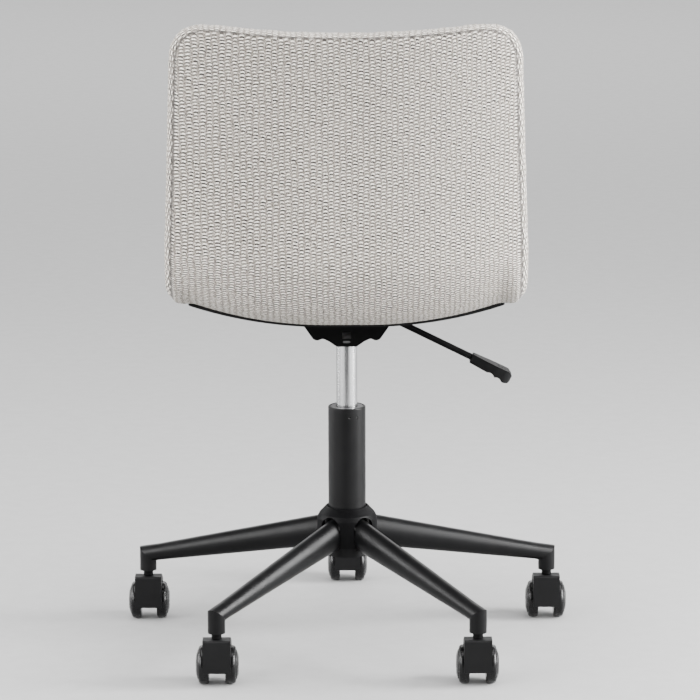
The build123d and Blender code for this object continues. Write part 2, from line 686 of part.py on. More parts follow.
def underside_cover():
    """Thin dished board under the seat, a little thicker towards its side edges."""
    top_depth = -COVER_GAP
    start = Plane(origin=(0, BOARD_FRONT_Y, SHELL_BOTTOM_Z), x_dir=(-1, 0, 0), z_dir=(0, 1, 0))
    with BuildSketch(start) as section:
        with BuildLine():
            Line((0, top_depth - BOARD_THICKNESS), (FLAT_HALF, top_depth - BOARD_THICKNESS))
            low_centre = (FLAT_HALF, BOARD_DISH_R - BOARD_THICKNESS + top_depth)
            low = CenterArc(low_centre, BOARD_DISH_R, -90, DISH_ANGLE)
            high = CenterArc((FLAT_HALF, DISH_R), DISH_R - top_depth, -90, DISH_ANGLE)
            Line(low @ 1, high @ 1)
            Line((FLAT_HALF, top_depth), (0, top_depth))
            mirror(about=Plane.YZ)
        make_face()
    with BuildPart() as board:
        extrude(section.sketch, amount=BOARD_REAR_Y - BOARD_FRONT_Y)
        with BuildSketch(Plane.XY.offset(SHELL_BOTTOM_Z - 20)):
            with Locations((0, (BOARD_FRONT_Y + BOARD_REAR_Y) / 2)):
                RectangleRounded(2 * BOARD_HALF_WIDTH, BOARD_REAR_Y - BOARD_FRONT_Y, BOARD_CORNER_R)
        extrude(amount=80, mode=Mode.INTERSECT)
        with BuildSketch(Plane.XY.offset(SHELL_BOTTOM_Z - 20)):
            with GridLocations(2 * BOLT_X, 2 * BOLT_Y, 2, 2):
                Circle(BOLT_R + 0.4)
        extrude(amount=30, mode=Mode.SUBTRACT)
    return board


def bolt_places():
    return [(side * BOLT_X, end * BOLT_Y) for side in (-1, 1) for end in (-1, 1)]


def seat_bolt(place):
    outline = [
        (1.6, PLATE_BOTTOM_Z - 3.2),
        (BOLT_HEAD_R - 1.5, PLATE_BOTTOM_Z - 3.2),
        (BOLT_HEAD_R, PLATE_BOTTOM_Z - 1.6),
        (BOLT_HEAD_R, PLATE_BOTTOM_Z - 0.02),
        (BOLT_R, PLATE_BOTTOM_Z - 0.02),
        (BOLT_R, BOLT_TOP_Z),
        (0, BOLT_TOP_Z),
        (0, PLATE_BOTTOM_Z - 1.2),
        (1.6, PLATE_BOTTOM_Z - 1.2),
    ]
    return turned(outline, place)


def tee_nut(place):
    outline = [
        (BOLT_R + 0.05, NUT_BOTTOM_Z),
        (NUT_BARREL_R, NUT_BOTTOM_Z),
        (NUT_BARREL_R, NUT_FLANGE_Z),
        (NUT_FLANGE_R, NUT_FLANGE_Z),
        (NUT_FLANGE_R, NUT_FLANGE_Z + 1.2),
        (BOLT_R + 0.05, NUT_FLANGE_Z + 1.2),
    ]
    return turned(outline, place)


# ---------------------------------------------------------------- casters


def caster_hood(angle):
    """Fender over both wheels with a web between them, bored for the stem and the axle."""
    x, y = stem_place(angle)
    web_plane = Plane(origin=(x - WEB_HALF, y, 0), x_dir=(0, 1, 0), z_dir=(1, 0, 0))
    fender_plane = Plane(origin=(x - HOOD_HALF, y, 0), x_dir=(0, 1, 0), z_dir=(1, 0, 0))
    axle = (-TRAIL, WHEEL_R)
    with BuildPart() as hood:
        with BuildSketch(fender_plane) as side:
            corners = [
                (HOOD_FRONT_Y - 6, HOOD_BOTTOM_Z, 0),
                (HOOD_FRONT_Y, HOOD_BOTTOM_Z, 1),
                (HOOD_FRONT_Y, HOOD_TOP_Z, 3),
                (-9, HOOD_TOP_Z, 16),
                (-40, 50.8, 18),
                (-49, 34, 1.5),
                (-44, 31, 0),
                (*axle, 0),
            ]
            rounded_face(side, corners)
            with Locations(axle):
                Circle(HOOD_WHEEL_R, mode=Mode.SUBTRACT)
        extrude(amount=2 * HOOD_HALF)
        with BuildSketch(web_plane):
            with Locations(axle):
                Circle(HOOD_WHEEL_R + 1)
            with Locations((0, HOOD_BOTTOM_Z - 20)):
                Rectangle(120, 40, mode=Mode.SUBTRACT)
            with Locations((-TRAIL - 30, WHEEL_R)):
                Rectangle(28, 80, mode=Mode.SUBTRACT)
        extrude(amount=2 * WEB_HALF)
        with BuildSketch(Plane(origin=(x, y, STEM_BOTTOM_Z - 1))):
            Circle(STEM_LOWER_R + RUNNING)
        extrude(amount=40, mode=Mode.SUBTRACT)
        with BuildSketch(fender_plane):
            with Locations(axle):
                Circle(AXLE_R + 0.02)
        extrude(amount=2 * HOOD_HALF, mode=Mode.SUBTRACT)
    return hood


def caster_axle(angle):
    x, y = stem_place(angle)
    left_end = (x - CAP_SEAT_X + 0.2, y - TRAIL, WHEEL_R)
    with BuildPart() as axle:
        with BuildSketch(Plane(origin=left_end, x_dir=(0, 1, 0), z_dir=(1, 0, 0))):
            Circle(AXLE_R)
        extrude(amount=2 * CAP_SEAT_X - 0.4)
    return axle


def on_axle(corners, angle, side):
    """A solid turned about a caster's axle, from (distance from its middle, radius, rounding) points."""
    x, y = stem_place(angle)
    profile_plane = Plane(origin=(x, y - TRAIL, WHEEL_R), x_dir=(side, 0, 0), z_dir=(0, -side, 0))
    with BuildPart() as piece:
        with BuildSketch(profile_plane) as profile:
            rounded_face(profile, corners)
        revolve(axis=Axis((x, y - TRAIL, WHEEL_R), (1, 0, 0)))
    return piece


def caster_wheel(angle, side):
    """Wheel with a rounded tread and a recess for its cap."""
    bore = AXLE_R + RUNNING
    corners = [
        (WHEEL_INNER_X, bore, 0),
        (WHEEL_INNER_X, WHEEL_R, 2.5),
        (WHEEL_OUTER_X - 0.5, WHEEL_R, 4.6),
        (WHEEL_OUTER_X, CAP_R + 0.9, 0),
        (WHEEL_OUTER_X, CAP_R + 0.1, 0),
        (CAP_SEAT_X, CAP_R + 0.1, 0),
        (CAP_SEAT_X, bore, 0),
    ]
    return on_axle(corners, angle, side)


def caster_cap(angle, side):
    """Domed disc that closes the wheel's outer face."""
    corners = [
        (CAP_SEAT_X + 0.1, 0, 0),
        (CAP_SEAT_X + 0.1, CAP_R, 0),
        (WHEEL_OUTER_X + 0.8, CAP_R, 0.8),
        (CAP_CROWN_X - 0.4, CAP_R * 0.62, 12),
        (CAP_CROWN_X, 0, 0),
    ]
    return on_axle(corners, angle, side)


# ---------------------------------------------------------------- the whole chair


def write_base():
    for number, angle in enumerate(SPOKE_ANGLES, 1):
        write(spoke(angle), f"spoke_{number}")
    write(together([spoke_socket(angle) for angle in SPOKE_ANGLES]), "spoke_sockets")
    write(together([stem_insert(angle) for angle in SPOKE_ANGLES]), "stem_inserts")
    stems = [caster_stem(angle) for angle in SPOKE_ANGLES]
    grips = [grip_ring(angle) for angle in SPOKE_ANGLES]
    write(together(stems + grips), "caster_stems")
    write(hub_sleeve(), "hub_sleeve")
    write(hub_cover(), "hub_cover")


def write_casters():
    for number, angle in enumerate(SPOKE_ANGLES, 1):
        write(caster_hood(angle), f"caster_{number}_hood")
        write(caster_axle(angle), f"caster_{number}_axle")
        for name, side in (("left", -1), ("right", 1)):
            write(caster_wheel(angle, side), f"caster_{number}_wheel_{name}")
            write(caster_cap(angle, side), f"caster_{number}_cap_{name}")


def write_gas_lift():
    write(column_tube(), "column_tube")
    write(guide_bush(), "guide_bush")
    write(piston_rod(), "piston_rod")
    write(rod_clip(), "rod_clip")
    write(thrust_bearing(), "thrust_bearing")
    write(gas_cylinder(), "gas_cylinder")
    write(cylinder_gland(), "cylinder_gland")
    write(release_pin(), "release_pin")


def write_mechanism():
    write(cone_socket(), "cone_socket")
    write(mechanism_pan(), "mechanism_pan")
    write(seat_plate(), "seat_plate")
    write(lever_pivot(), "lever_pivot")
    write(lever_arm(), "lever_arm")
    write(lever_handle(), "lever_handle")


def write_shell():
    write(underside_cover(), "underside_cover")
    write(shell_layer(0, REAR_PANEL_DEPTH, 0, holes=BOLT_R + 0.4), "rear_panel")
    ply_bore = (NUT_FLANGE_R + 0.2, NUT_FLANGE_Z - 0.1)
    write(shell_layer(*PLY_DEPTHS, PLY_INSET, NUT_BARREL_R + 0.05, ply_bore), "plywood_shell")
    write(shell_layer(PAD_START, SHELL_THICKNESS, 0), "seat_and_back_pad")
    write(together([seat_bolt(place) for place in bolt_places()]), "seat_bolts")
    write(together([tee_nut(place) for place in bolt_places()]), "tee_nuts")


os.makedirs("parts", exist_ok=True)
write_base()
write_casters()
write_gas_lift()
write_mechanism()
write_shell()
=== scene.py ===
"""Looks of the swivel task chair: woven cover, coated steel, chrome and plastics. Metres, +Z up."""

import math

import bpy
import numpy as np
from mathutils import Euler, Matrix, Vector


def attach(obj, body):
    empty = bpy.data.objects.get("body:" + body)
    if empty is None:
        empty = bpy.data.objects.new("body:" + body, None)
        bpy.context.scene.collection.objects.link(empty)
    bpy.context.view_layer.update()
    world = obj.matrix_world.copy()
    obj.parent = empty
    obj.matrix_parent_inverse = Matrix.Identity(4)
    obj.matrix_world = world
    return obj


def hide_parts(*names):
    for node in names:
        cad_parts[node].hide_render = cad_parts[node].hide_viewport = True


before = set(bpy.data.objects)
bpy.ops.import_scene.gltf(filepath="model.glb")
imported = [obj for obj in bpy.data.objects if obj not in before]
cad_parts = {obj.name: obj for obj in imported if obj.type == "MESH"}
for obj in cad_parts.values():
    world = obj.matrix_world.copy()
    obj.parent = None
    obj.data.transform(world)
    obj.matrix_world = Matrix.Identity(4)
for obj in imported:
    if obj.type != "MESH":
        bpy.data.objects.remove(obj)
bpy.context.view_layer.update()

# ---------------------------------------------------------------- camera, studio and light

CAMERA_PLACE = (-0.0044, 4.984, 1.414)
CAMERA_PITCH, CAMERA_ROLL = 11.54, -0.15  # degrees
CAMERA_LENS, CAMERA_SENSOR = 196.7, 36.0  # millimetres
CAMERA_REACH = 50  # metres


def make_camera():
    data = bpy.data.cameras.new("camera")
    data.lens, data.sensor_width = CAMERA_LENS, CAMERA_SENSOR
    data.clip_end = CAMERA_REACH
    camera = bpy.data.objects.new("camera", data)
    level = Euler((math.radians(90 - CAMERA_PITCH), 0, math.pi)).to_matrix().to_4x4()
    roll = Matrix.Rotation(math.radians(CAMERA_ROLL), 4, "Z")
    camera.matrix_world = Matrix.Translation(CAMERA_PLACE) @ level @ roll
    bpy.context.scene.collection.objects.link(camera)
    bpy.context.scene.camera = camera


def aim(thing, target):
    thing.rotation_euler = (Vector(target) - thing.location).to_track_quat("-Z", "Y").to_euler()


def softbox(name, place, target, size, power, only_gloss=False):
    """An area light that no camera sees; one with only_gloss is a card that shows in reflections alone."""
    data = bpy.data.lights.new(name, "AREA")
    data.shape = "RECTANGLE"
    data.size, data.size_y = size
    data.energy = power
    light = bpy.data.objects.new(name, data)
    light.location = place
    light.visible_camera = False
    light.visible_diffuse = not only_gloss
    bpy.context.scene.collection.objects.link(light)
    aim(light, target)


def make_flag(name, place, width, height):
    """A black card that only reflections see; it keeps the front of gloss and chrome dark."""
    x, y, z = place
    left, right = x - width / 2, x + width / 2
    corners = [(left, y, z), (right, y, z), (right, y, z + height), (left, y, z + height)]
    mesh = bpy.data.meshes.new(name)
    mesh.from_pydata(corners, [], [(0, 1, 2, 3)])
    flag = bpy.data.objects.new(name, mesh)
    bpy.context.scene.collection.objects.link(flag)
    felt = Nodes("black_felt")
    pile = felt.noise(felt.object_place(), 300, detail=3)
    felt.colour(felt.ramp(pile, [(0.3, (0.004,) * 3), (0.7, (0.008,) * 3)]))
    felt.value("Roughness", 1.0)
    felt.value("Specular IOR Level", 0.0)
    mesh.materials.append(felt.material)
    flag.visible_camera = flag.visible_diffuse = flag.visible_shadow = False


WORLD_STRENGTH = 0.36
SEAT_MIDDLE, BASE_MIDDLE, COLUMN_MIDDLE = (0, 0.1, 0.55), (0, 0, 0.35), (0, 0, 0.4)
CARD_SIZE = (1.05, 0.85)


def make_light():
    """A pale world, six softboxes round the chair, and cards that give the gloss its bands."""
    world = bpy.data.worlds.new("studio")
    bpy.context.scene.world = world
    world.use_nodes = True
    background = world.node_tree.nodes["Background"]
    background.inputs["Color"].default_value = (1, 1, 1, 1)
    background.inputs["Strength"].default_value = WORLD_STRENGTH
    softbox("box_right", (-2.5, 1.9, 1.7), SEAT_MIDDLE, size=(2.2, 2.4), power=178)
    softbox("box_left", (2.5, 1.9, 1.7), SEAT_MIDDLE, size=(2.2, 2.4), power=212)
    softbox("edge_right", (-2.7, 0.35, 1.2), SEAT_MIDDLE, size=(0.9, 2.0), power=430)
    softbox("edge_left", (2.6, -0.5, 0.7), SEAT_MIDDLE, size=(0.9, 1.2), power=80)
    softbox("top", (0, 0.2, 3.4), SEAT_MIDDLE, size=(2.8, 2.8), power=170)
    softbox("under", (0, 3.4, 0.3), COLUMN_MIDDLE, size=(2.6, 0.45), power=22)
    softbox("card_right", (-1.1, 0.8, 0.4), BASE_MIDDLE, CARD_SIZE, power=3.2, only_gloss=True)
    softbox("card_left", (1.1, 0.8, 0.4), BASE_MIDDLE, CARD_SIZE, power=2.8, only_gloss=True)
    make_flag("flag", (0, 1.35, 0.0), width=0.95, height=1.1)


FLOOR_R, FLOOR_SIDES = 18.0, 96
FLOOR_DARK, FLOOR_PALE = (0.262,) * 3, (0.277,) * 3
RING_R, RING_Z, RING_LIGHTS, RING_SIZE, RING_POWER = 7.6, 3.4, 8, 5.4, 430.0


def make_studio():
    """A round pale floor, evenly lit far out by a ring of lights that hang over it."""
    turns = [2 * math.pi * k / FLOOR_SIDES for k in range(FLOOR_SIDES)]
    mesh = bpy.data.meshes.new("studio_floor")
    rim = [(FLOOR_R * math.cos(a), FLOOR_R * math.sin(a), 0) for a in turns]
    mesh.from_pydata(rim, [], [range(FLOOR_SIDES)])
    floor = bpy.data.objects.new("studio_floor", mesh)
    bpy.context.scene.collection.objects.link(floor)
    sheet = Nodes("studio_paper")
    speckle = sheet.noise(sheet.object_place(), 40, detail=3)
    sheet.colour(sheet.ramp(speckle, [(0.3, FLOOR_DARK), (0.7, FLOOR_PALE)]))
    sheet.value("Roughness", 0.9)
    sheet.value("Specular IOR Level", 0.2)
    mesh.materials.append(sheet.material)
    for k in range(RING_LIGHTS):
        turn = 2 * math.pi * (k + 0.5) / RING_LIGHTS
        x, y = RING_R * math.cos(turn), RING_R * math.sin(turn)
        softbox(f"ring_{k}", (x, y, RING_Z), (x, y, 0), (RING_SIZE, RING_SIZE), RING_POWER)


# ---------------------------------------------------------------- material helper

NOISE_RANGE = (0.3, 0.7)  # most of a noise's values are inside it


class Nodes:
    """One material's node tree, with short calls for the nodes that the materials share."""

    def __init__(self, name):
        self.material = bpy.data.materials.new(name)
        self.material.use_nodes = True
        self.tree = self.material.node_tree
        self.shader = self.tree.nodes["Principled BSDF"]

    def link(self, source, target):
        self.tree.links.new(source, target)

    def node(self, kind, **settings):
        made = self.tree.nodes.new("ShaderNode" + kind)
        for key, value in settings.items():
            setattr(made, key, value)
        return made

    def feed(self, target, source):
        if isinstance(source, (int, float, tuple)):
            target.default_value = source
        else:
            self.link(source, target)

    def object_place(self):
        return self.node("TexCoord").outputs["Object"]

    def attribute(self, name):
        return self.node("Attribute", attribute_name=name)

    def math(self, operation, a, b=0.0, clamp=False):
        made = self.node("Math", operation=operation, use_clamp=clamp)
        for socket, source in zip(made.inputs, (a, b)):
            self.feed(socket, source)
        return made.outputs[0]

    def vector(self, operation, a, b):
        made = self.node("VectorMath", operation=operation)
        self.feed(made.inputs[0], a)
        self.feed(made.inputs[1], b)
        return made.outputs[0]

    def combine(self, x, y, z=0.0):
        made = self.node("CombineXYZ")
        for socket, source in zip(made.inputs, (x, y, z)):
            self.feed(socket, source)
        return made.outputs[0]

    def noise(self, place, scale, detail=2.0, roughness=0.5):
        made = self.node("TexNoise")
        self.link(place, made.inputs["Vector"])
        made.inputs["Scale"].default_value = scale
        made.inputs["Detail"].default_value = detail
        made.inputs["Roughness"].default_value = roughness
        return made.outputs["Fac"]

    def cells(self, place, scale):
        made = self.node("TexVoronoi")
        self.link(place, made.inputs["Vector"])
        made.inputs["Scale"].default_value = scale
        return made.outputs["Distance"]

    def dice(self, place):
        """A fixed random number for each place."""
        made = self.node("TexWhiteNoise")
        self.link(place, made.inputs["Vector"])
        return made.outputs["Value"]

    def ramp(self, factor, stops):
        """Colours between stops, each a place and its colour."""
        made = self.node("ValToRGB")
        self.link(factor, made.inputs["Fac"])
        elements = made.color_ramp.elements
        while len(elements) < len(stops):
            elements.new(0.5)
        for element, (place, colour) in zip(elements, stops):
            element.position = place
            element.color = (*colour, 1)
        return made.outputs["Color"]

    def falloff(self, place):
        """One at zero, nothing from one on either side."""
        return self.math("SUBTRACT", 1.0, self.math("MULTIPLY", place, place), clamp=True)

    def spread(self, factor, low, high, from_low=0.0, from_high=1.0):
        """Maps the factor's range onto the range from low to high."""
        made = self.node("MapRange")
        self.link(factor, made.inputs["Value"])
        names = ("From Min", "From Max", "To Min", "To Max")
        for name, value in zip(names, (from_low, from_high, low, high)):
            made.inputs[name].default_value = value
        return made.outputs["Result"]

    def mix(self, factor, a, b):
        made = self.node("Mix", data_type="RGBA")
        self.feed(made.inputs["Factor"], factor)
        colour_inputs = [s for s in made.inputs if s.type == "RGBA"]
        for socket, source in zip(colour_inputs, (a, b)):
            self.feed(socket, (*source, 1) if isinstance(source, tuple) else source)
        return [s for s in made.outputs if s.type == "RGBA"][0]

    def colour(self, source):
        self.link(source, self.shader.inputs["Base Color"])

    def value(self, name, number):
        self.shader.inputs[name].default_value = number

    def roughness(self, source):
        self.link(source, self.shader.inputs["Roughness"])

    def bump(self, height, distance, strength=1.0):
        made = self.node("Bump")
        made.inputs["Strength"].default_value = strength
        made.inputs["Distance"].default_value = distance
        self.link(height, made.inputs["Height"])
        self.link(made.outputs["Normal"], self.shader.inputs["Normal"])


# ---------------------------------------------------------------- materials of the frame


def tones(shade, painted_shade, pale):
    """A darker and a paler tone of one colour, as stops of a ramp."""
    return [(0.3, tuple(painted_shade * c for c in shade)), (0.7, tuple(pale * c for c in shade))]


def coated_steel(name, shade, roughness, gloss=0.5, peel=0.00004):
    """Powder coat: satin, with fine orange peel and a faint unevenness of gloss."""
    m = Nodes(name)
    place = m.object_place()
    cloud = m.noise(place, 9, detail=3)
    m.colour(m.ramp(cloud, tones(shade, 0.8, 1.25)))
    m.roughness(m.spread(m.noise(place, 55), roughness - 0.05, roughness + 0.06, *NOISE_RANGE))
    m.bump(m.noise(place, 900), peel, 0.6)
    m.value("Specular IOR Level", gloss)
    return m.material


def moulded_plastic(name, shade, roughness, grain_scale=1400, grain=0.00005, coat=0.0, gloss=0.5):
    """Injection moulding with a spark-eroded grain."""
    m = Nodes(name)
    place = m.object_place()
    cloud = m.noise(place, 14)
    m.colour(m.ramp(cloud, tones(shade, 0.85, 1.2)))
    m.roughness(m.spread(m.noise(place, 120, detail=3), roughness - 0.06, roughness + 0.08, *NOISE_RANGE))
    m.bump(m.cells(place, grain_scale), grain, 0.5)
    m.value("Coat Weight", coat)
    m.value("Coat Roughness", 0.12)
    m.value("Specular IOR Level", gloss)
    return m.material


def drawn_chrome():
    """Polished cylinder with faint lengthwise lines."""
    m = Nodes("lift_chrome")
    place = m.object_place()
    lines = m.noise(m.vector("MULTIPLY", place, (1.0, 1.0, 0.02)), 1500)
    m.colour(m.ramp(lines, [(0.25, (0.36, 0.363, 0.367)), (0.75, (0.50, 0.503, 0.507))]))
    m.roughness(m.spread(lines, 0.17, 0.26, *NOISE_RANGE))
    m.value("Metallic", 1.0)
    m.bump(lines, 0.00001, 0.3)
    return m.material


def turned_steel(name, shade, metallic=1.0):
    """Plated steel with fine tool marks round it."""
    m = Nodes(name)
    place = m.object_place()
    marks = m.noise(m.vector("MULTIPLY", place, (0.05, 0.05, 1.0)), 2200)
    tint = m.noise(place, 60)
    m.colour(m.ramp(tint, tones(shade, 0.8, 1.1)))
    m.roughness(m.spread(marks, 0.26, 0.42, *NOISE_RANGE))
    m.value("Metallic", metallic)
    m.bump(marks, 0.00002, 0.4)
    return m.material


def pressed_board():
    """Thin black board with short pressed fibres."""
    m = Nodes("board_black")
    place = m.object_place()
    fibres = m.noise(m.vector("MULTIPLY", place, (1.0, 0.25, 1.0)), 700, detail=4, roughness=0.65)
    m.colour(m.ramp(fibres, [(0.3, (0.0012, 0.0012, 0.0012)), (0.75, (0.005, 0.005, 0.0052))]))
    m.roughness(m.spread(fibres, 0.55, 0.8, *NOISE_RANGE))
    m.bump(fibres, 0.00012, 0.6)
    m.value("Specular IOR Level", 0.12)
    return m.material


BEECH = [(0.3, (0.42, 0.27, 0.15)), (0.55, (0.56, 0.39, 0.23)), (0.8, (0.66, 0.49, 0.31))]


def beech_plywood():
    """Beech, dark to pale along its grain."""
    m = Nodes("plywood")
    place = m.object_place()
    grain = m.noise(m.vector("MULTIPLY", place, (1.0, 0.06, 0.06)), 260, detail=5, roughness=0.6)
    m.colour(m.ramp(grain, BEECH))
    m.roughness(m.spread(grain, 0.5, 0.68, *NOISE_RANGE))
    m.bump(grain, 0.00008, 0.4)
    return m.material


CASTERS = range(1, 6)  # spokes and casters count from one


def paint(material, *nodes):
    for name in nodes:
        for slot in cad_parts[name].material_slots:
            slot.material = material


def paint_base():
    coat = coated_steel("base_coat", (0.0026, 0.0026, 0.0028), roughness=0.36, gloss=0.11)
    paint(coat, "hub_sleeve", "spoke_sockets", *[f"spoke_{k}" for k in CASTERS])
    tube = coated_steel("column_coat", (0.0030, 0.0030, 0.0032), roughness=0.40, gloss=0.11)
    paint(tube, "column_tube")
    hub = moulded_plastic("hub_plastic", (0.0016, 0.0016, 0.0018), roughness=0.45, gloss=0.05)
    paint(hub, "hub_cover")
    bush = moulded_plastic("bush_plastic", (0.055, 0.055, 0.057), roughness=0.45, gloss=0.3)
    paint(bush, "guide_bush", "cylinder_gland")
    insert = moulded_plastic("insert_plastic", (0.002, 0.002, 0.002), roughness=0.5, gloss=0.1)
    paint(insert, "stem_inserts")


def paint_casters():
    hood = moulded_plastic("hood_plastic", (0.0036, 0.0036, 0.0038), roughness=0.45, gloss=0.11)
    paint(hood, *[f"caster_{k}_hood" for k in CASTERS])
    shade = (0.003, 0.003, 0.0032)
    tread = moulded_plastic(
        "wheel_plastic", shade, roughness=0.27, grain_scale=900, grain=0.000001, coat=0.09, gloss=0.15
    )
    parts = [f"{part}_{side}" for part in ("wheel", "cap") for side in ("left", "right")]
    paint(tread, *[f"caster_{k}_{part}" for k in CASTERS for part in parts])
    stem = coated_steel("black_steel", (0.0012, 0.0012, 0.0013), roughness=0.45, gloss=0.06)
    paint(stem, "caster_stems")


def paint_mechanism():
    coat = coated_steel("mechanism_coat", (0.0008, 0.0008, 0.0009), roughness=0.45, gloss=0.05)
    paint(coat, "mechanism_pan", "seat_plate")
    lever = coated_steel("lever_coat", (0.0014, 0.0014, 0.0015), roughness=0.34, gloss=0.07)
    paint(lever, "lever_arm")
    shade = (0.0022, 0.0022, 0.0024)
    handle = moulded_plastic(
        "handle_plastic", shade, roughness=0.42, grain_scale=1000, grain=0.00006, gloss=0.12
    )
    paint(handle, "lever_handle")
    paint(drawn_chrome(), "gas_cylinder")
    lift_steel = ["piston_rod", "rod_clip", "thrust_bearing", "release_pin"]
    fixings = ["lever_pivot", "seat_bolts", "tee_nuts", *[f"caster_{k}_axle" for k in CASTERS]]
    paint(turned_steel("bright_steel", (0.56, 0.56, 0.56)), *lift_steel, *fixings)
    paint(turned_steel("zinc", (0.13, 0.13, 0.13), metallic=0.4), "cone_socket")
    paint(pressed_board(), "underside_cover")
    paint(beech_plywood(), "plywood_shell")


# ---------------------------------------------------------------- shape of the upholstered shell

BOTTOM_Z, FRONT_Y, FRONT_BOW = 0.457, -0.235, 0.008
DROP_R, DROP_TURN = 0.160, math.radians(25)
BEND_Y, BEND_R, BEND_TURN = 0.127, 0.105, math.radians(88)
BACK_R = 1.484
FLAT_HALF, DISH_R = 0.027, 0.525
HALF_WIDTH, TOP_HALF_WIDTH = 0.230, 0.220
TAPER_Z, TAPER_LIMIT = (0.560, 0.820), 1.15  # the taper runs on from there to the top edge
TOP_CENTRE_Z, TOP_CORNER_Z, TOP_CORNER_X, CREST_R = 0.8493, 0.8575, 0.180, 0.400
TOP_CORNER_R, FRONT_CORNER_R = 0.040, 0.062

OVERHANG, OVERHANG_X, OVERHANG_S = 0.0068, (0.195, 0.217), (0.07, 0.19)

# lengths along the path count from the start of the bend between seat and back
DROP_S = FRONT_Y + DROP_R * math.sin(DROP_TURN) - BEND_Y
BEND_S = BEND_R * BEND_TURN
FRONT_SEARCH, TOP_SEARCH = (-0.40, -0.25), (0.30, 0.52)  # where the path meets the two edges
HALVINGS = 30
Y, Z = 1, 2  # axes of a point


def path(s):
    """Place (y, z) and slope of the shell's outer face on its centre line, at length s."""
    y, z, slope = BEND_Y + s, np.full_like(s, BOTTOM_Z), np.zeros_like(s)
    drop = s < DROP_S
    turn = (DROP_S - s[drop]) / DROP_R
    y[drop] = BEND_Y + DROP_S - DROP_R * np.sin(turn)
    z[drop] = BOTTOM_Z - DROP_R * (1 - np.cos(turn))
    slope[drop] = turn
    bend = (s > 0) & (s <= BEND_S)
    slope[bend] = s[bend] / BEND_R
    y[bend] = BEND_Y + BEND_R * np.sin(slope[bend])
    z[bend] = BOTTOM_Z + BEND_R * (1 - np.cos(slope[bend]))
    back = s > BEND_S
    slope[back] = BEND_TURN - (s[back] - BEND_S) / BACK_R
    bend_y, bend_z = BEND_Y + BEND_R * math.sin(BEND_TURN), BOTTOM_Z + BEND_R * (1 - math.cos(BEND_TURN))
    y[back] = bend_y + BACK_R * (math.sin(BEND_TURN) - np.sin(slope[back]))
    z[back] = bend_z + BACK_R * (np.cos(slope[back]) - math.cos(BEND_TURN))
    return y, z, slope


def shell_point(x, s, depth):
    """A point of the dished shell: x across, s along, depth inwards from the outer face."""
    y, z, slope = path(s)
    out = np.maximum(np.abs(x) - FLAT_HALF, 0)
    lift = DISH_R - np.sqrt((DISH_R - depth) ** 2 - out**2)
    return np.stack([x, y - np.sin(slope) * lift, z + np.cos(slope) * lift], -1)


def top_edge(x):
    """Height of the top edge: a shallow dip between its two crests."""
    turn = 2 * math.atan((TOP_CORNER_Z - TOP_CENTRE_Z) / TOP_CORNER_X)
    dip_r = TOP_CORNER_X / math.sin(turn) - CREST_R
    out = np.minimum(np.abs(x), TOP_CORNER_X)
    join = dip_r * math.sin(turn)
    dip = TOP_CENTRE_Z + dip_r - np.sqrt(dip_r**2 - np.minimum(out, join) ** 2)
    crest = TOP_CORNER_Z - CREST_R + np.sqrt(CREST_R**2 - (TOP_CORNER_X - np.maximum(out, join)) ** 2)
    return np.where(out < join, dip, crest)


def half_width(z):
    share = np.clip((z - TAPER_Z[0]) / (TAPER_Z[1] - TAPER_Z[0]), 0, TAPER_LIMIT)
    return HALF_WIDTH - (HALF_WIDTH - TOP_HALF_WIDTH) * share


def smooth(place, start, end):
    """From nought to one between start and end, level at both."""
    share = np.clip((place - start) / (end - start), 0, 1)
    return share * share * (3 - 2 * share)


def overhang(x, s):
    """How far the soft edge swells out past the board that holds the seat's middle flat."""
    beside = smooth(np.abs(x), *OVERHANG_X) * (1 - smooth(s, *OVERHANG_S))
    return OVERHANG * beside


def length_at(x, depth, axis, target, search):
    """Lengths along the path where the shell's place on an axis reaches the target, by halving."""
    low, high = (np.full_like(x, end) for end in search)
    for _ in range(HALVINGS):
        middle = (low + high) / 2
        under = shell_point(x, middle, depth)[:, axis] < target
        low, high = np.where(under, middle, low), np.where(under, high, middle)
    return (low + high) / 2


def ends(x, depth, top_inset, front_inset):
    """Lengths along the path where a panel at that depth has its front edge and its top edge."""
    front_y = FRONT_Y + FRONT_BOW * (x / HALF_WIDTH) ** 2 + front_inset
    front = length_at(x, depth, Y, front_y, FRONT_SEARCH)
    return front, length_at(x, depth, Z, top_edge(x) - top_inset, TOP_SEARCH)


# ---------------------------------------------------------------- upholstery mesh

CELL = 0.0068  # about the width of an even mesh cell, before subdivision
SEAM_STEP = 0.8 * CELL  # from the last row that follows a seam to the first even one
COLUMN_CELLS, ROW_CELLS = 63, 104
SEAM_ROWS = (0.0, 0.0022, 0.0055)  # rows that follow a seam, by their distance from it
GROOVE = (0.0030, 0.0004)  # how deep the seam lies, and the row beside it
STRIP_ROWS = (0.05, 0.16, 0.29, 0.43, 0.57, 0.71, 0.84, 0.95)  # shares of the boxing strip's height


def spaced(length, count):
    """Distances from one edge to the other: close together beside both seams, even between them."""
    start = SEAM_ROWS[-1] + SEAM_STEP
    middle = [start + (length - 2 * start) * k / count for k in range(count + 1)]
    return np.array([*SEAM_ROWS, *middle, *[length - d for d in reversed(SEAM_ROWS)]])


def rounded(p, q, across, along, corner_r):
    """Moves grid points in a corner square onto the corner's quarter circle."""
    u, v = np.clip((p - across) / corner_r + 1, 0, 1), np.clip((q - along) / corner_r + 1, 0, 1)
    inside = (u > 0) & (v > 0)
    round_u, round_v = u * np.sqrt(1 - v**2 / 2), v * np.sqrt(1 - u**2 / 2)
    return (
        np.where(inside, across + (round_u - 1) * corner_r, p),
        np.where(inside, along + (round_v - 1) * corner_r, q),
    )


def seam_distance(rows, columns):
    """How many cells each grid point is from the border."""
    r, c = np.indices((rows, columns))
    return np.minimum(np.minimum(r, rows - 1 - r), np.minimum(c, columns - 1 - c))


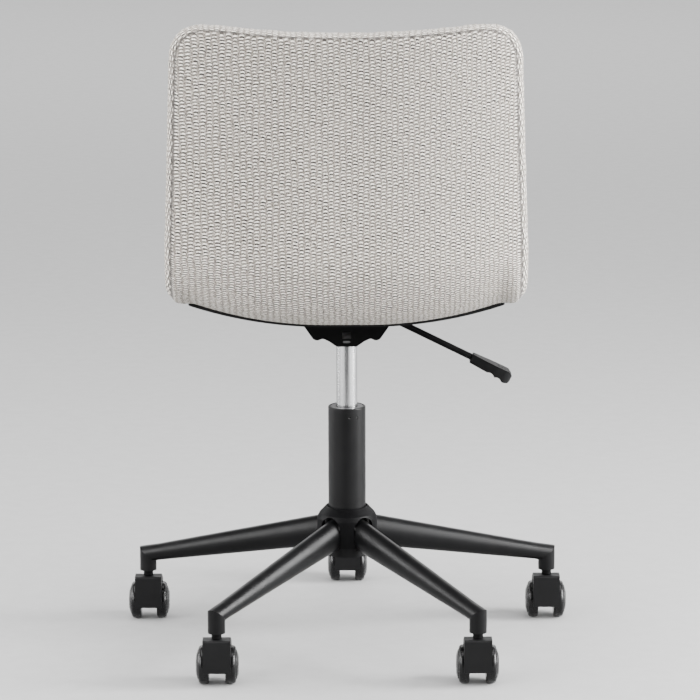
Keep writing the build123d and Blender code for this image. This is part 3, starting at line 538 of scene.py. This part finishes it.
CREASE_S = BEND_S / 2  # the pad's cross seam, in the corner between the seat and the back
CREASE_DEEP, CREASE_REACH = 0.0085, 0.011
WIDTH_ROUNDS = 3  # the panel's width depends on its height, which depends on its width


def with_crease(groove, edge, s):
    """Adds the cross seam, along the mesh row nearest to it."""
    row = int(np.argmin(np.abs(s[:, 0] - CREASE_S)))
    away = np.abs(s - s[row, 0])
    return np.maximum(groove, CREASE_DEEP * np.exp(-((away / CREASE_REACH) ** 2))), np.minimum(edge, away)


def panel_grid(depth, side_inset, top_inset, front_inset, inwards):
    """One fabric panel: points, places across, lengths along and distances from a seam, in rows.

    inwards is 1 where depth grows towards the pad's core, as on the rear panel, and -1 on the front.
    """
    half = HALF_WIDTH - side_inset
    flat_front, flat_top = ends(np.zeros(1), np.full(1, depth), top_inset, front_inset)
    length = float(flat_top[0] - flat_front[0])
    across = spaced(2 * half, COLUMN_CELLS) - half
    along = spaced(length, ROW_CELLS)
    p, q = np.meshgrid(across, along)
    groove = np.zeros(p.shape)
    for k, drop in enumerate(GROOVE):
        groove[seam_distance(*p.shape) == k] = drop
    edge = np.minimum(np.minimum(half - np.abs(p), q), length - q)
    if inwards < 0:
        groove, edge = with_crease(groove, edge, q + flat_front[0])
    depths = (depth + inwards * groove).ravel()
    side = np.sign(p)
    p, q = rounded(np.abs(p), q, half, length, TOP_CORNER_R)
    p, back_q = rounded(p, length - q, half, length, FRONT_CORNER_R)
    q = (length - back_q).ravel()
    share = (side * p / half).ravel()
    x = share * half
    for _ in range(WIDTH_ROUNDS):
        front, top = ends(x, depths, top_inset, front_inset)
        s = front + (top - front) * q / length
        x = share * (half_width(shell_point(x, s, depths)[:, 2]) - side_inset)
    if inwards > 0:
        depths = depths - overhang(x, s)
    return shell_point(x, s, depths).reshape(*p.shape, 3), x.reshape(p.shape), s.reshape(p.shape), edge


def rim_of(rows, columns):
    """Indices of a grid's border, once round."""
    index = np.arange(rows * columns).reshape(rows, columns)
    return np.concatenate([index[0, :-1], index[:-1, -1], index[-1, :0:-1], index[:0:-1, 0]])


COLUMNS_PER_M, COLUMN_DRIFT = 135.1, 62.9  # the weave's ribs are a little closer on one side
ROW_PITCH = 0.0044
FIRST_COLUMN, FIRST_ROW = 80, 200  # keep the panels' rib and row numbers above nought
STRIP_START = 0.5  # the strip's first rib and row number
SEAM_FADE = 0.02  # the weave attribute's third number is the distance to a seam, up to this


def weave_places(x, s, depth):
    """Rib and row numbers of the weave for points of a panel."""
    out = np.maximum(np.abs(x) - FLAT_HALF, 0)
    curved = (DISH_R - depth) * np.arcsin(out / (DISH_R - depth))
    arc = np.sign(x) * (np.minimum(np.abs(x), FLAT_HALF) + curved)
    columns = COLUMNS_PER_M * arc - COLUMN_DRIFT * arc**2 + FIRST_COLUMN
    return np.stack([columns, s / ROW_PITCH + FIRST_ROW], -1)


REAR, FRONT, STRIP = range(3)  # which part of the cover a point is on


class Upholstery:
    """The closed cover: a rear panel, a front panel and a boxing strip between their seams."""

    REAR_DEPTH, FRONT_DEPTH = 0.0004, 0.0345
    REAR_INSETS = (0.0064, 0.0050, 0.0050)  # side, top and front
    FRONT_INSETS = (0.0060, 0.0020, 0.0060)
    STRIP_LIFTS = (0.0086, 0.0034)  # how far the strip bulges past its seams: sides, top
    STRIP_FULLNESS = 2.6  # the bulge's power curve: higher is squarer
    OUTWARD_ROUNDS, LIFT_ROUNDS = 6, 10  # of averaging along the strip

    def __init__(self):
        rear, rear_x, rear_s, rear_edge = panel_grid(self.REAR_DEPTH, *self.REAR_INSETS, 1)
        front, front_x, front_s, front_edge = panel_grid(self.FRONT_DEPTH, *self.FRONT_INSETS, -1)
        rear_rim = rim_of(*rear_x.shape)
        front_rim = rim_of(*front_x.shape) + rear_x.size
        self.points = np.concatenate([rear.reshape(-1, 3), front.reshape(-1, 3)])
        self.kind = np.array([REAR] * rear_x.size + [FRONT] * front_x.size)
        self.edge = np.concatenate([rear_edge.ravel(), front_edge.ravel()])
        self.run = np.concatenate([(rear_x + rear_s).ravel(), (front_x + front_s).ravel()])
        rear_weave = weave_places(rear_x.ravel(), rear_s.ravel(), self.REAR_DEPTH)
        front_weave = weave_places(front_x.ravel(), front_s.ravel(), self.FRONT_DEPTH)
        weave = np.concatenate([rear_weave, front_weave])
        self.weave = np.column_stack([weave, np.minimum(self.edge, SEAM_FADE)])
        self.faces, self.face_weave = [], []
        self.add_grid(*rear_x.shape, start=0, flip=False)
        self.add_grid(*front_x.shape, start=rear_x.size, flip=True)
        self.add_strip(rear_rim, front_rim)

    def add_grid(self, rows, columns, start, flip):
        """Faces of a panel whose points are numbered row by row from start."""
        for r in range(rows - 1):
            for c in range(columns - 1):
                a = start + r * columns + c
                corners = (a, a + columns, a + columns + 1, a + 1)
                corners = corners[::-1] if flip else corners
                self.add_face(corners, [self.weave[k] for k in corners])

    def add_face(self, corners, weave):
        self.faces.append(corners)
        self.face_weave.append(weave)

    def add_strip(self, rear_rim, front_rim):
        """Rows of cells from the rear seam to the front seam, bulging outwards between them."""
        count = len(rear_rim)
        rear, front = self.points[rear_rim], self.points[front_rim]
        along = np.roll(rear, -1, 0) - np.roll(rear, 1, 0)
        outward = np.cross(along, front - rear)
        outward /= np.linalg.norm(outward, axis=1)[:, None]
        outward = np.where(((outward * (rear - rear.mean(0))).sum(1) < 0)[:, None], -outward, outward)
        for _ in range(self.OUTWARD_ROUNDS):
            outward = outward + np.roll(outward, 1, 0) + np.roll(outward, -1, 0)
            outward /= np.linalg.norm(outward, axis=1)[:, None]
        side, top = self.STRIP_LIFTS
        faces_up = (outward[:, 2] > 0.5) & (np.abs(outward[:, 0]) <= 0.5)
        lift = np.where(faces_up, top, side)
        for _ in range(self.LIFT_ROUNDS):
            lift = (lift + np.roll(lift, 1) + np.roll(lift, -1)) / 3
        sides = np.linalg.norm(np.roll(rear, -1, 0) - rear, axis=1)
        length = np.concatenate([[0], np.cumsum(sides)])
        height = float(np.linalg.norm(front - rear, axis=1).mean())
        rings = [rear_rim]
        for share in STRIP_ROWS:
            bulge = 1 - abs(2 * share - 1) ** self.STRIP_FULLNESS
            ring = rear + (front - rear) * share + outward * (lift * bulge)[:, None]
            rings.append(np.arange(count) + len(self.points))
            self.points = np.concatenate([self.points, ring])
            self.kind = np.concatenate([self.kind, np.full(count, STRIP)])
            self.edge = np.concatenate([self.edge, np.full(count, min(share, 1 - share) * height)])
            self.run = np.concatenate([self.run, self.run[rear_rim]])
        rings.append(front_rim)
        shares = (0.0, *STRIP_ROWS, 1.0)
        for k in range(len(rings) - 1):
            for c in range(count):
                d = (c + 1) % count
                corners = (rings[k][c], rings[k][d], rings[k + 1][d], rings[k + 1][c])
                places = [(c, k), (c + 1, k), (c + 1, k + 1), (c, k + 1)]
                self.add_face(corners, [self.strip_weave(length[i], shares[j], height) for i, j in places])

    def strip_weave(self, length, share, height):
        """Rib number, row number and distance from a seam, for a place on the strip."""
        return (
            length * COLUMNS_PER_M + STRIP_START,
            share * height / ROW_PITCH + STRIP_START,
            min(min(share, 1 - share) * height, SEAM_FADE),
        )


def mesh_of(shape, name):
    """Blender mesh of the cover, with its weave places on the corners of its faces."""
    mesh = bpy.data.meshes.new(name)
    faces = [tuple(int(k) for k in face) for face in shape.faces]
    mesh.from_pydata([tuple(p) for p in shape.points], [], faces)
    attribute = mesh.attributes.new("weave", "FLOAT_VECTOR", "CORNER")
    flat = np.array([corner for face in shape.face_weave for corner in face], np.float32)
    attribute.data.foreach_set("vector", flat.ravel())
    mesh.polygons.foreach_set("use_smooth", [True] * len(mesh.polygons))
    return mesh


SWELL_PRESSURE, SWELL_FRAMES = 4.0, 20
SWELL_CAPS = (0.0006, 0.0085, 0.0016)  # how far the rear panel, the front panel and the strip may move
HELD = SEAM_ROWS[1] * 0.5  # points nearer to a seam than this don't move
PUCKER, PUCKER_PITCH = 0.0007, 0.027
PUCKER_RISE, PUCKER_FALL = (0.001, 0.006), (0.006, 0.022)  # distances from the seam


def swell(cover, shape):
    """Lets the closed cover swell under pressure, with its seams and its stretched rear panel held."""
    held = cover.vertex_groups.new(name="held")
    stuck = (shape.kind == REAR) | (shape.edge < HELD)
    held.add([int(k) for k in np.flatnonzero(stuck)], 1.0, "REPLACE")
    cloth = cover.modifiers.new("cloth", "CLOTH")
    settings = cloth.settings
    settings.quality = 6
    settings.mass = 0.3
    settings.use_pressure = True
    settings.uniform_pressure_force = SWELL_PRESSURE
    settings.tension_stiffness = settings.compression_stiffness = 12
    settings.bending_stiffness = 0.6
    settings.vertex_group_mass = held.name
    settings.effector_weights.gravity = 0
    cloth.collision_settings.use_collision = False
    cloth.point_cache.frame_start, cloth.point_cache.frame_end = 1, SWELL_FRAMES
    for frame_number in range(1, SWELL_FRAMES + 1):
        bpy.context.scene.frame_set(frame_number)
    swollen = cover.evaluated_get(bpy.context.evaluated_depsgraph_get()).to_mesh()
    points = np.empty(len(swollen.vertices) * 3)
    swollen.vertices.foreach_get("co", points)
    moved = points.reshape(-1, 3) - shape.points
    length = np.maximum(np.linalg.norm(moved, axis=1), 1e-9)
    cap = np.array(SWELL_CAPS)[shape.kind]
    share = cap * np.tanh(length / cap) / length
    cover.modifiers.remove(cloth)
    bpy.context.scene.frame_set(1)
    cover.data.vertices.foreach_set("co", (shape.points + moved * share[:, None]).ravel())
    cover.data.update()


def pucker(cover, shape):
    """Gathers the fabric a little where it is sewn."""
    mesh = cover.data
    places, normals = np.empty(len(mesh.vertices) * 3), np.empty(len(mesh.vertices) * 3)
    mesh.vertices.foreach_get("co", places)
    mesh.vertex_normals.foreach_get("vector", normals)
    near = (0.3 + 0.7 * smooth(shape.edge, *PUCKER_RISE)) * (1 - smooth(shape.edge, *PUCKER_FALL))
    turn = 2 * math.pi * shape.run / PUCKER_PITCH
    # two waves of unlike lengths, so that no gather is like the next
    wave = np.sin(turn + 2.2 * np.sin(0.23 * turn) + shape.kind) + 0.6 * np.sin(1.71 * turn + 1.9)
    places = places.reshape(-1, 3) + normals.reshape(-1, 3) * (PUCKER * near * wave)[:, None]
    mesh.vertices.foreach_set("co", places.ravel())
    mesh.update()


def make_upholstery():
    shape = Upholstery()
    mesh = mesh_of(shape, "upholstery")
    cover = bpy.data.objects.new("upholstery", mesh)
    bpy.context.scene.collection.objects.link(cover)
    mesh.materials.append(woven_fabric())
    swell(cover, shape)
    pucker(cover, shape)
    finer = cover.modifiers.new("finer", "SUBSURF")
    finer.levels = finer.render_levels = 1
    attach(cover, "seat")
    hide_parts("rear_panel", "seat_and_back_pad")


SLOT_PLACE, CREST_PLACE = 0.20, 0.66  # shares of a row
HUMP_FULLNESS = 2.6  # how flat the crests and the slots are before they fall off
SEAM_SHADOW = (0.0006, 0.0028)  # distances from a seam between which its shadow fades
WEAVE_RELIEF = 0.0014
# the palest colour is also the painted highlight on the crests of the humps
YARN_DARK, YARN_MIDDLE, YARN_PALE_AND_HIGHLIGHT = (0.120, 0.100, 0.080), (0.44, 0.39, 0.33), (1.0, 0.945, 0.86)
YARN_FLECK = (0.10, 0.082, 0.065)
# the hollow colour is painted shade in the slots under the humps and the gaps between ribs
PAINTED_HOLLOW_SHADE, SEAM_SHADE = (0.012, 0.009, 0.007), (0.022, 0.018, 0.015)


def weave_humps(m, weave, ribs, rows):
    """Crest, slot and gap of each hump of the weave, from nought to one, with two numbers of its luck."""
    rib_place = m.math("ADD", ribs, m.spread(m.noise(weave, 0.3), -0.4, 0.4))
    rib = m.math("FLOOR", rib_place)
    across = m.math("SUBTRACT", m.math("FRACT", rib_place), 0.5)
    half_row = m.math("MULTIPLY", m.math("PINGPONG", rib, 1.0), 0.5)
    step = m.math("ADD", half_row, m.spread(m.dice(m.combine(rib, 7.0)), -0.12, 0.12))
    arch = m.math("MULTIPLY", m.math("MULTIPLY", across, across), 1.1)
    row_place = m.math("ADD", rows, step)
    row_place = m.math("ADD", row_place, m.spread(m.noise(weave, 0.4), -0.3, 0.3))
    row_place = m.math("ADD", row_place, arch)
    row = m.math("FLOOR", row_place)
    along = m.math("FRACT", row_place)
    luck = m.dice(m.combine(rib, row))
    other_luck = m.dice(m.combine(row, rib, 3.0))
    across = m.math("ADD", across, m.spread(other_luck, -0.09, 0.09))

    slot_across = m.falloff(m.math("DIVIDE", across, m.spread(luck, 0.34, 0.49)))
    slot_along = m.falloff(m.math("DIVIDE", m.math("SUBTRACT", along, SLOT_PLACE), 0.32))
    slot = m.math("MULTIPLY", m.math("MULTIPLY", slot_across, slot_along), HUMP_FULLNESS, clamp=True)

    beside = m.math("SUBTRACT", 0.5, m.math("ABSOLUTE", across))
    gap_depth = m.spread(m.noise(weave, 1.9), 0.1, 1.0, 0.32, 0.66)
    gap = m.math("MULTIPLY", m.falloff(m.math("DIVIDE", beside, 0.18)), gap_depth)

    past_crest = m.math("SUBTRACT", along, CREST_PLACE)
    twisted = m.math("ADD", across, m.math("MULTIPLY", past_crest, m.spread(luck, -0.1, 0.9)))
    crest_across = m.falloff(m.math("DIVIDE", twisted, m.spread(other_luck, 0.24, 0.38)))
    crest_along = m.falloff(m.math("DIVIDE", past_crest, 0.29))
    crest = m.math("MULTIPLY", m.math("MULTIPLY", crest_across, crest_along), HUMP_FULLNESS, clamp=True)
    return crest, slot, gap, luck, other_luck


def woven_fabric():
    """Chunky weave: humps in ribs, half a row out of step from rib to rib, with painted shade in the slots
    between and a painted highlight on each crest.
    """
    m = Nodes("woven_fabric")
    weave = m.attribute("weave").outputs["Vector"]
    parts = m.node("SeparateXYZ")
    m.link(weave, parts.inputs[0])
    humps = weave_humps(m, weave, parts.outputs["X"], parts.outputs["Y"])
    crest, slot, gap, luck, other_luck = humps
    strands = m.noise(m.vector("MULTIPLY", weave, (2.0, 5.0, 1.0)), 1.5, detail=3, roughness=0.65)
    fuzz = m.noise(weave, 4.5, detail=3, roughness=0.75)

    body = m.mix(m.spread(strands, 0.0, 1.0, *NOISE_RANGE), YARN_DARK, YARN_MIDDLE)
    # painted highlight: each crest is made paler, where the light would catch it
    body = m.mix(m.math("MULTIPLY", crest, m.spread(luck, 0.5, 1.0)), body, YARN_PALE_AND_HIGHLIGHT)
    body = m.mix(m.spread(fuzz, 0.0, 0.9, 0.49, 0.66), body, YARN_FLECK)
    body = m.mix(m.spread(fuzz, 1.0, 0.0, 0.33, 0.49), body, YARN_PALE_AND_HIGHLIGHT)
    # painted shade: the slots under the humps and the gaps between ribs are darkened
    painted_shade = m.math("MULTIPLY", m.math("MAXIMUM", slot, gap), m.spread(other_luck, 0.75, 1.0))
    woven = m.mix(painted_shade, body, PAINTED_HOLLOW_SHADE)
    beside_seam = m.spread(parts.outputs["Z"], 0.85, 0.0, *SEAM_SHADOW)
    m.colour(m.mix(beside_seam, woven, SEAM_SHADE))
    m.value("Roughness", 0.9)
    m.value("Sheen Weight", 0.08)
    m.value("Sheen Roughness", 0.5)
    height = m.math("SUBTRACT", m.math("ADD", crest, m.math("MULTIPLY", strands, 0.4)), slot)
    m.bump(height, WEAVE_RELIEF)
    return m.material


# ---------------------------------------------------------------- the scene

make_camera()
make_studio()
make_light()
paint_base()
paint_casters()
paint_mechanism()
make_upholstery()
